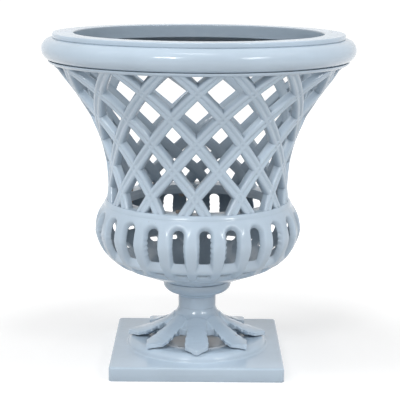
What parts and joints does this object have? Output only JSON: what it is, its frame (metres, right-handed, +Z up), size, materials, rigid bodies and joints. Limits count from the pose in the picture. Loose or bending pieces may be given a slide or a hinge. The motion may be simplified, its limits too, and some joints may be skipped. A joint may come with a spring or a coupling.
{
  "type": "urn vase",
  "caption": "Free-standing garden urn with a flared openwork basket of crossing straps, a pierced bowl, a leaf foot and a square plinth; holds plants or a pot.",
  "frame": {"origin": "centre of the plinth's underside, on the floor", "axes": "+Z up along the axis of the urn; -Y is the side that faces the camera in the picture; +X is to the right in the picture"},
  "size_m": [0.508, 0.508, 0.5445],
  "materials": {
    "plinth_enamel": "glossy pale grey-blue enamel over cast iron",
    "foot_enamel": "glossy pale grey-blue enamel, bare rusty iron on the inside",
    "stem_enamel": "glossy pale grey-blue enamel over cast iron",
    "bowl_enamel": "glossy pale grey-blue enamel over cast iron",
    "basket_enamel": "glossy pale grey-blue enamel over cast iron",
    "rim_enamel": "glossy pale grey-blue enamel over cast iron",
    "rod_steel": "dull threaded steel",
    "washer_steel": "dull steel",
    "nut_steel": "dull steel",
    "bolt_steel": "dull steel",
    "dowel_steel": "dull steel"
  },
  "bodies": {
    "root": {"plinth": "plinth_enamel", "leaf_foot": "foot_enamel", "stem": "stem_enamel", "bowl": "bowl_enamel", "basket": "basket_enamel", "rim": "rim_enamel", "tie_rod": "rod_steel", "rod_washer_top": "washer_steel", "rod_nut_top": "nut_steel", "rod_washer_bottom": "washer_steel", "rod_nut_bottom": "nut_steel", "flange_bolts": "bolt_steel", "flange_nuts": "nut_steel", "rim_dowels": "dowel_steel"}
  },
  "joints": []
}
